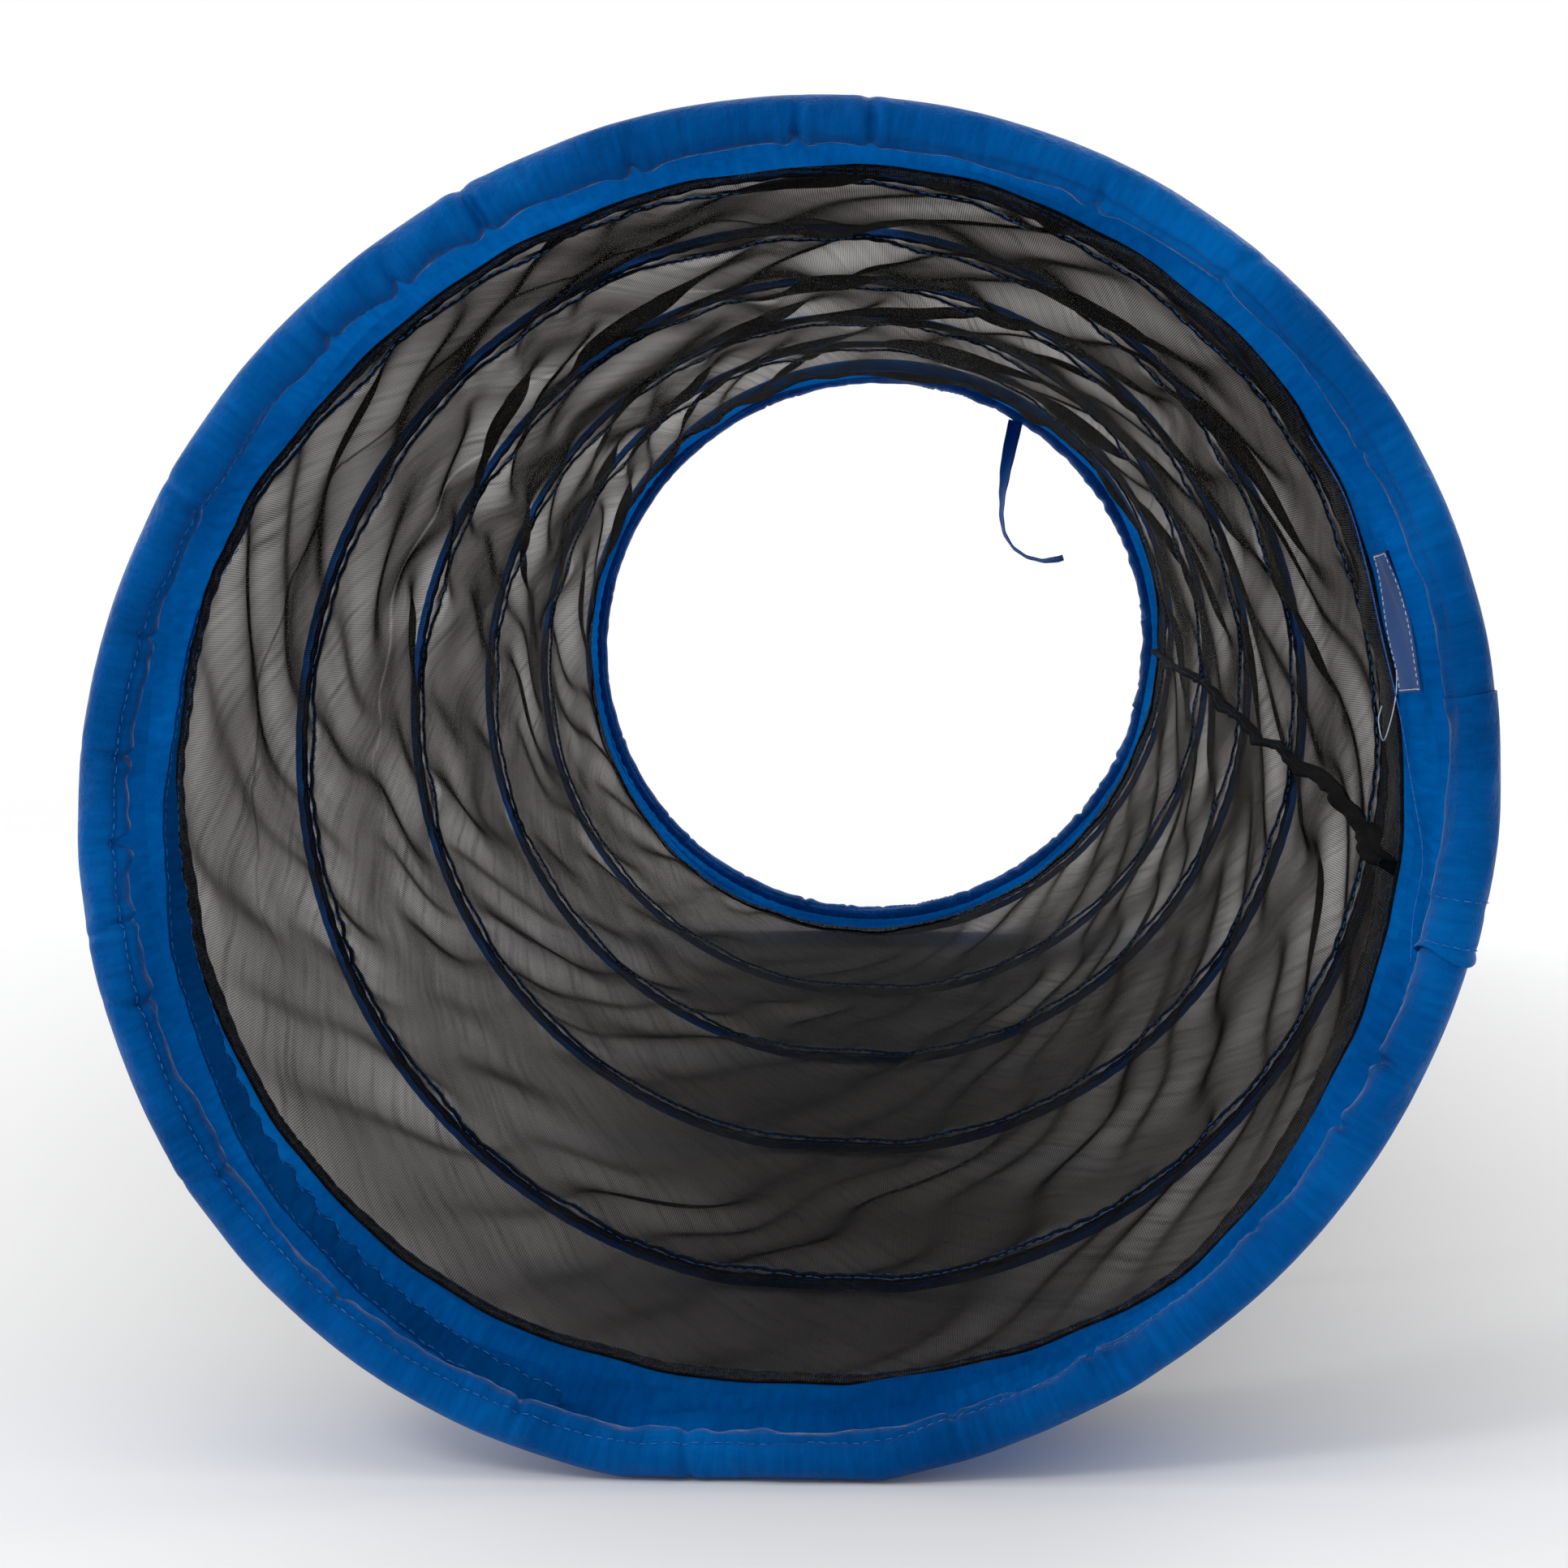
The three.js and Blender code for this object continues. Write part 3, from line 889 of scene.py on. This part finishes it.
def add_band(end):
    """The blue cloth from a rim to the mesh."""
    rows, columns = 900, 44
    angle = np.linspace(0, TURN, rows, endpoint=False)[:, None]
    share = np.linspace(0, 1, columns)[None]
    along = from_end(BAND_START + (border(angle, end) + BAND_TUCK - BAND_START) * share, end)
    inside = place(along, wall_radius(along, angle + 0 * along), angle)
    faces, uv = skin(inside, wall_lengths(angle, along), False, True)
    band = make_piece(f"{end}_band_cloth", inside, faces, BAND, uv)
    soft(band, "blue_cloth")
    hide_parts(f"{end}_band")


add_band("near")
add_band("far")


# ---- the mesh tube, one strip for each bay of the spiral

def bay_edges(bay, turned):
    """The two borders of a bay, at angles that run on from the lengthwise seam."""
    low = ring_along(turned + TURN * bay) if bay > -1 else border(turned, "near")
    high = ring_along(turned + TURN * (bay + 1)) if bay < 3 else LENGTH - border(turned, "far")
    return low, high


def add_mesh_bay(bay, rows):
    """One strip of mesh. Its borders and the seam depend on each other, so they are found in
    a few rounds."""
    columns = 640
    gap = 0.15 * MM
    around = np.linspace(0.0006, TURN - 0.0006, columns)[:, None]
    share = np.linspace(0, 1, rows)[None]
    along = np.full((columns, rows), 0.5)
    for _ in range(4):
        turned = seam_angle(along) + around
        low, high = bay_edges(bay, turned)
        along = low + gap + (high - low - 2 * gap) * share
    turned = seam_angle(along) + around
    radius = wall_radius(along, turned)
    inside = place(along, radius, turned)
    outside = place(along, radius + 1.0 * MM, turned)
    lengths = wall_lengths(turned, along)
    piece = shell(f"mesh_cloth_{bay + 2}", inside, outside, lengths, MESH)
    soft(piece, "black_mesh")
    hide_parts(f"mesh_panel_{bay + 2}")
    low, high = bay_edges(bay, around + SEAM_NEAR)


for bay, rows in ((-1, 76), (0, 74), (1, 74), (2, 74), (3, 64)):
    add_mesh_bay(bay, rows)


# ---- hems where band and mesh meet

def hem_width(angle, end):
    """How wide the hem is. The near one is wider at the right."""
    wide = 14 + 2.5 * np.sin(5 * angle + 1) + 1.5 * np.sin(11 * angle)
    if end == "near":
        right = hump(angle, 262, 0.42) + 0.5 * hump(angle, 302, 0.30)
        wide = wide + 46 * right + 12 * hump(angle, 212, 0.40)
    return wide * MM


def add_hem(end):
    """The folded black border over the join of band and mesh, and its two rows of sewing."""
    rows, columns = 960, 16
    overlap = 1.2 * MM
    angle = np.linspace(0, TURN, rows, endpoint=False)[:, None]
    share = np.linspace(0, 1, columns)[None]
    along = from_end(border(angle, end) - overlap + hem_width(angle, end) * share, end)
    radius = wall_radius(along, angle + 0 * along) - 0.9 * MM
    fold = 0.45 * MM * (bump(share, 0.0, 0.09) + bump(share, 1.0, 0.09))
    ripple = 0.18 * MM * np.sin(130 * angle + 5 * share)
    inside = place(along, radius - fold + ripple, angle)
    outside = place(along, radius + 0.6 * MM, angle)
    hem = ring_shell(f"{end}_hem", inside, outside, wall_lengths(angle, along), HEM)
    soft(hem, "black_mesh")
    rows = []
    for inset in (3.2, 11.0):
        turn = np.linspace(0.01, TURN - 0.01, 1000)
        line_along = from_end(border(turn, end) - overlap + inset * MM, end)
        line = place(line_along, wall_radius(line_along, turn) - 1.35 * MM, turn)
        rows.append((line, -radial(line)))
    sewn = stitches(f"{end}_hem_stitches", rows, HEM_THREAD, seed=5)
    soft(sewn, "blue_tape")


HEM = black_mesh("black_hem", 1500.0, 0.75)
add_hem("near")
add_hem("far")


# ---- the spiral wire, its channel and the sewing

def add_wire():
    """The spring wire, in one piece."""
    theta = np.linspace(0.01, TURNS * TURN - 0.01, 1500)
    route = place(ring_along(theta), SPIRAL_RADIUS, theta)
    up = radial(route)
    side = np.cross(frame_of(route), up)
    wire = tube("spiral_wire", route, side, up, circle(10, 1.5 * MM), STEEL)
    soft(wire, "spring_steel")
    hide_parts(*[f"wire_turn_{k}" for k in range(1, 6)], "wire_end_turn")


def add_channel():
    """The tape folded over the wire, with ruffled feet and a lumpy crown."""
    theta = np.linspace(CHANNEL_LEAD, TURNS * TURN - CHANNEL_LEAD, 2300)
    route = place(ring_along(theta), WALL + 1.15 * MM, theta)
    up = radial(route)
    side = np.tile(np.array([0.0, 1.0, 0.0]), (len(theta), 1))
    # Half of the outline, from the edge of the foot up over the wire.
    outer = [(-7.4, 0.05), (-7.2, 0.55), (-5.6, 0.75), (-4.0, 1.0), (-2.9, 2.4), (-1.8, 4.1),
             (0, 4.75)]
    inner = [(-6.9, 0.0), (-4.4, 0.1), (-2.6, 0.9), (-2.1, 2.3), (-1.3, 3.5), (0, 4.05)]
    over = outer + [(-w, h) for w, h in outer[-2::-1]]
    under = [(-w, h) for w, h in inner[:-1]] + [inner[-1]] + inner[-2::-1]
    outline = np.array(over + under) * MM
    profile = np.broadcast_to(outline, (len(theta), *outline.shape)).copy()
    foot = smooth_step(2.2 * MM, 7 * MM, np.abs(profile[:, :, 0]))
    arc = theta * WALL
    ruffle = np.sin(arc / (11 * MM) * TURN + 1.3 * np.sin(arc * 21))
    ruffle = ruffle + 0.5 * np.sin(arc / (17 * MM) * TURN)
    lumps = np.sin(arc * 31) + np.sin(arc * 83 + 1)
    left = profile[:, :, 0] < 0
    wave = np.where(left, ruffle[:, None], np.roll(ruffle, 9)[:, None])
    profile[:, :, 1] += foot * (0.32 + 0.30 * wave) * MM
    profile[:, :, 0] += foot * np.sign(profile[:, :, 0]) * 0.35 * wave * MM
    profile[:, :, 1] += (1 - foot) * 0.10 * (lumps + 1.2 * ruffle)[:, None] * MM
    profile[:, :, 0] += (1 - foot) * 0.20 * (ruffle + lumps)[:, None] * MM
    channel = tube("channel_tape", route, side, up, profile, TAPE)
    soft(channel, "blue_tape")
    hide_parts(*[f"channel_turn_{k}" for k in range(1, 6)], "channel_end_turn")


def add_ring_stitches():
    """The channel's two rows of sewing, seen on the mesh inside and on the tape outside."""
    theta = np.linspace(CHANNEL_LEAD, TURNS * TURN - CHANNEL_LEAD, 5200)
    inside, outside = [], []
    on_mesh = (theta > HEM_CROSSING) & (theta < TURNS * TURN - HEM_CROSSING)
    for shift in (-4.9 * MM, 4.9 * MM):
        along = ring_along(theta) + shift
        radius = wall_radius(along, theta)
        line = place(along, radius - 0.25 * MM, theta)
        inside.append((line[on_mesh], -radial(line)[on_mesh]))
        line = place(along, WALL + 2.35 * MM, theta)
        outside.append((line, radial(line)))
    for side, rows, seed in (("inside", inside, 3), ("outside", outside, 4)):
        sewn = stitches(f"ring_stitches_{side}", rows, BLUE_THREAD, length=2.8 * MM, gap=1.6 * MM,
                        seed=seed)
        soft(sewn, "blue_tape")


def add_channel_flap():
    """The start of the channel, folded to the inside of the near band and sewn along one edge. Its
    cloth is darker than the band's, as painted shade of the channel seen through the band.
    """
    theta = np.linspace(math.radians(20.5), HEM_CROSSING, 420)[:, None]
    columns = 17
    across = np.linspace(0, 1, columns)[None]
    arc = theta * WALL
    lean = arc - 9 * MM * across
    ruffle = np.sin(lean / (11.5 * MM) * TURN + 1.2 * np.sin(arc * 23))
    ruffle = ruffle * (0.6 + 0.4 * np.sin(arc * 37))
    under_hem = 1 - smooth_step(math.radians(68), math.radians(93), theta)
    frayed = 0.8 * MM * np.sin(across * 19) * (1 - smooth_step(0, 0.02, theta - theta[0, 0]))
    along = ring_along(theta) + (-14 + 17.5 * across) * MM
    along = along + (1.1 * MM * ruffle * across) * under_hem
    lift = (4.8 * across**1.3 + 2.6 * ruffle * across * (1.3 - across)) * under_hem + 0.25
    radius = wall_radius(along, theta + 0 * along) - lift * MM
    around = theta + frayed / WALL
    inside = place(along, radius - 0.35 * MM, around)
    outside = place(along, radius, around)
    lengths = np.stack(np.broadcast_arrays(arc, along), axis=-1)
    flap = shell("channel_flap", inside, outside, lengths, FLAP_PAINTED_SHADE)
    soft(flap, "blue_tape")
    rows = [sewn_on(inside[:, 1]), sewn_on(inside[:, columns - 2])]
    sewn = stitches("channel_flap_stitches", rows, BLUE_THREAD, length=2.8 * MM, gap=1.6 * MM, seed=6)
    soft(sewn, "blue_tape")


def add_ring_binding():
    """The mesh's own folded edge under each ring of stitches, dark from inside."""
    theta = np.linspace(HEM_CROSSING, TURNS * TURN - HEM_CROSSING, 2200)
    share = np.linspace(-1, 1, 7)
    along = ring_along(theta)[:, None] + share[None] * 3.1 * MM
    wobble = 0.35 * np.sin(theta * 57) + 0.2 * np.sin(theta * 91 + 1)
    along = along + wobble[:, None] * MM
    radius = wall_radius(along, theta[:, None] + 0 * along)
    crown = (1 - share[None] ** 2) * 0.7 * MM
    inside = place(along, radius - 0.25 * MM - crown, theta[:, None])
    outside = place(along, radius - 0.1 * MM, theta[:, None])
    lengths = wall_lengths(theta[:, None], along)
    binding = shell("ring_binding", inside, outside, lengths, BINDING)
    soft(binding, "black_mesh")


add_wire()
add_channel()
add_ring_stitches()
add_channel_flap()
add_ring_binding()


# ---- the lengthwise seam of the mesh

def add_long_seam():
    """The mesh's two edges, overlocked together and standing a little into the tunnel."""
    along = np.linspace(HEM_AT + 4 * MM, FAR_HEM_AT - 4 * MM, 1100)
    angle = seam_angle(along)
    radius = wall_radius(along, angle)
    base = place(along, radius, angle)
    up = -radial(base)
    side = np.cross(frame_of(base), up)
    lean = 0.5 * np.sin(along * 23) + 0.25 * np.sin(along * 71)
    near_share = np.exp(-(along - HEM_AT) / 0.3)
    height = 5.4 + 2.6 * near_share + 0.9 * np.sin(along * 37 + 1) + 0.5 * np.sin(along * 113)
    loops = 0.35 * np.sin(along / (2.4 * MM) * math.pi)
    half = 1.35 + 1.0 * near_share + 0.15 * loops
    outline = np.array([(-1.6, -0.2), (-1.1, 0.35), (-0.8, 0.6), (-0.75, 0.9), (0, 1.05),
                        (0.75, 0.9), (0.8, 0.6), (1.1, 0.35), (1.6, -0.2), (0, -0.3)])
    profile = np.zeros((len(along), len(outline), 2))
    rise = outline[None, :, 1] * height[:, None]
    profile[:, :, 0] = (outline[None, :, 0] * half[:, None] + lean[:, None] * rise * 0.45) * MM
    profile[:, :, 1] = (rise + loops[:, None] * (outline[None, :, 1] > 0.5)) * MM
    seam = tube("long_seam", base, side, up, profile, BINDING)
    soft(seam, "black_mesh")
    rows = []
    for share in (0.25, 0.75):
        lift = height * share
        off_side = (1.05 + lean * lift * 0.45) * MM
        rows.append((base + up * (lift * MM)[:, None] + side * off_side[:, None], side))
    sewn = stitches("long_seam_stitches", rows, BLUE_THREAD, length=2.2 * MM, gap=3.4 * MM,
                    thick=0.3 * MM, seed=8)
    soft(sewn, "blue_tape")


add_long_seam()


# ---- the blank label and the loose threads

def add_label():
    """The blank label, sewn down along all four edges."""
    rows, columns = 60, 30
    low, high = math.radians(248), math.radians(261)
    share = np.linspace(0, 1, rows)[:, None]
    across = np.linspace(0, 1, columns)[None]
    angle = low + (high - low) * share + 0.004 * across
    along = (64 + 27 * across + 3.0 * share + 1.5 * np.sin(4 * share)) * MM
    lift = 1.0 + 0.5 * across**3 * (0.4 + share * 1.2) + 0.35 * np.sin(9 * share + 2 * across)
    radius = wall_radius(along, angle + 0 * along) - lift * MM
    inside = place(along, radius - 0.5 * MM, angle)
    outside = place(along, radius, angle)
    label = shell("blank_label", inside, outside, wall_lengths(angle, along), LABEL)
    soft(label, "label_cloth")
    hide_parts("side_label")
    edges = [sewn_on(inside[:, int(share * (columns - 1))]) for share in (0.04, 0.96)]
    edges += [sewn_on(inside[i]) for i in (1, rows - 2)]
    sewn = stitches("label_stitches", edges, WHITE_THREAD, length=1.6 * MM, gap=0.9 * MM,
                    thick=0.4 * MM, seed=9)
    soft(sewn, "label_cloth")


def label_cloth():
    """The label's woven satin."""
    n = Nodes("label_cloth")
    broad = n.noise(n.position(), 60.0, 3.0)
    color = n.ramp(broad, (0.3, (0.010, 0.055, 0.20)), (0.7, (0.022, 0.090, 0.30)))
    weave = woven(n, 0.5 * MM, 0.5 * MM, 0.7, 0.2 * MM)
    shader = n.add("BsdfPrincipled", {
        "Base Color": color, "Roughness": 0.6, "Normal": weave.outputs[0],
        "Specular IOR Level": 0.2, "Sheen Weight": 0.1,
    })
    return n.surface(shader.outputs[0])


def add_thread(name, knots, thick, material, slot):
    """A loose end of sewing thread. Its knots are (along, angle in degrees, off the wall)."""
    along, angle, off = (np.array(column, float) for column in zip(*knots))
    angle = np.radians(angle)
    along = along * MM
    radius = wall_radius(along, angle) - off * MM
    path = spline(place(along, radius, angle), 16 * len(knots))
    tangent = frame_of(path)
    side = np.cross(tangent, radial(path))
    side /= np.linalg.norm(side, axis=1)[:, None]
    up = np.cross(tangent, side)
    piece = tube(name, path, side, up, circle(6, thick / 2), material)
    soft(piece, slot)


LABEL = label_cloth()
add_label()
add_thread("loose_blue_thread", [
    (112, 236, 1.5), (104, 242, 2.0), (98, 248, 3.2), (94, 256, 4.5), (86, 263, 3.5), (78, 270, 2.2),
    (66, 276, 2.0), (54, 281, 3.0), (42, 285, 2.5),
], 0.5 * MM, BLUE_THREAD, "blue_tape")
add_thread("loose_white_thread", [
    (95, 259, 2.0), (99, 261.5, 3.5), (96, 264, 6.5), (89, 265.5, 9.5), (83, 263.5, 12), (78, 262, 13),
], 0.5 * MM, WHITE_THREAD, "label_cloth")


# ---- the wire loop and its crimp in each rim

def add_loop(end):
    """The spring wire in a rim, and the sleeve that joins its ends."""
    joint = math.radians(274.5)
    middle = CASING_WIDTH / 2
    for name, node, half_turn, size, count, material, slot in (
        ("loop_wire", "wire_loop", TURN / 2 - 0.004, 1.5, 700, STEEL, "spring_steel"),
        ("loop_sleeve", "loop_crimp", 0.059, 2.6, 40, CRIMP, "crimp_metal"),
    ):
        start = joint + TURN / 2 if name == "loop_wire" else joint
        theta = start + np.linspace(-half_turn, half_turn, count)
        route = place(from_end(middle, end), LOOP_RADIUS, theta)
        up = radial(route)
        side = np.tile(np.array([0.0, 1.0, 0.0]), (count, 1))
        profile = np.broadcast_to(circle(12, size * MM), (count, 12, 2)).copy()
        if name == "loop_sleeve":
            pinch = 1 - 0.12 * (bump(np.arange(count), 10, 2) + bump(np.arange(count), 29, 2))
            profile *= pinch[:, None, None]
        piece = tube(f"{end}_{name}", route, side, up, profile, material)
        rigid(piece, f"{end}_end")
        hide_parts(f"{end}_{node}")


add_loop("near")
add_loop("far")


# ---- floor and light

def add_floor():
    """A pale floor that fades out all round, so that it has no visible edge."""
    size = 4
    mesh = bpy.data.meshes.new("floor")
    corners = [(-size, -size, 0), (size, -size, 0), (size, size, 0), (-size, size, 0)]
    mesh.from_pydata(corners, [], [(0, 1, 2, 3)])
    n = Nodes("floor")
    place_on = n.position()
    cloudy = n.noise(place_on, 0.7, 2.0)
    pale = n.math("ADD", n.math("MULTIPLY", cloudy, 0.06), 0.84)
    color = n.add("CombineColor", {0: pale, 1: pale, 2: pale}).outputs[0]
    away = n.add("VectorMath", {0: place_on}, operation="LENGTH").outputs["Value"]
    fade = n.add("MapRange", {
        "Value": away, "From Min": 1.5, "From Max": 3.0, "To Min": 0.0, "To Max": 1.0,
    }, interpolation_type="SMOOTHSTEP").outputs["Result"]
    shader = n.add("BsdfPrincipled", {
        "Base Color": color, "Roughness": 0.9, "Specular IOR Level": 0.1,
    })
    clear = n.add("BsdfTransparent")
    mix = n.add("MixShader", {0: fade, 1: shader.outputs[0], 2: clear.outputs[0]})
    mesh.materials.append(n.surface(mix.outputs[0]))
    floor = bpy.data.objects.new("floor", mesh)
    floor.location.z = -0.3 * MM
    bpy.context.scene.collection.objects.link(floor)


def add_light(name, location, target, size, power):
    """A square studio lamp that points at a target."""
    data = bpy.data.lights.new(name, "AREA")
    data.shape = "SQUARE"
    data.size = size
    data.energy = power
    light = bpy.data.objects.new(name, data)
    light.location = location
    way = Vector(target) - Vector(location)
    light.rotation_euler = way.to_track_quat("-Z", "Y").to_euler()
    bpy.context.scene.collection.objects.link(light)


def add_world():
    """A white backdrop. Its light is soft, and a little stronger from the left and from ahead."""
    world = bpy.data.worlds.new("studio")
    world.use_nodes = True
    tree = world.node_tree

    def graded(value, low, high, first, last):
        inputs = {"Value": value, "From Min": low, "From Max": high, "To Min": first, "To Max": last}
        return add_node(tree, "MapRange", inputs).outputs["Result"]

    direction = add_node(tree, "TexCoord").outputs["Generated"]
    parts = add_node(tree, "SeparateXYZ", {0: direction})
    soft_across = graded(parts.outputs["X"], -0.7, 0.7, 1.5, 0.8)
    ahead = graded(parts.outputs["Y"], -1, 1, 0.55, 1.25)
    both = {0: soft_across, 1: ahead}
    lighting = add_node(tree, "Math", both, operation="MULTIPLY").outputs[0]
    rays = add_node(tree, "LightPath")
    seen = {"Factor": rays.outputs["Is Camera Ray"], "A": lighting, "B": 1.0}
    light = add_node(tree, "Mix", seen)
    background = tree.nodes["Background"]
    background.inputs["Color"].default_value = (1, 1, 1, 1)
    tree.links.new(light.outputs["Result"], background.inputs["Strength"])
    bpy.context.scene.world = world


add_floor()
add_world()
add_light("key", (-1.3, -2.6, 1.9), (0, NEAR_FACE, 0.25), 0.6, 15)
add_light("fill", (1.6, 1.2, 2.2), (0, 0, 0.25), 1.6, 18)
bpy.context.scene.view_settings.view_transform = "Standard"
bpy.context.scene.cycles.transparent_max_bounces = 24
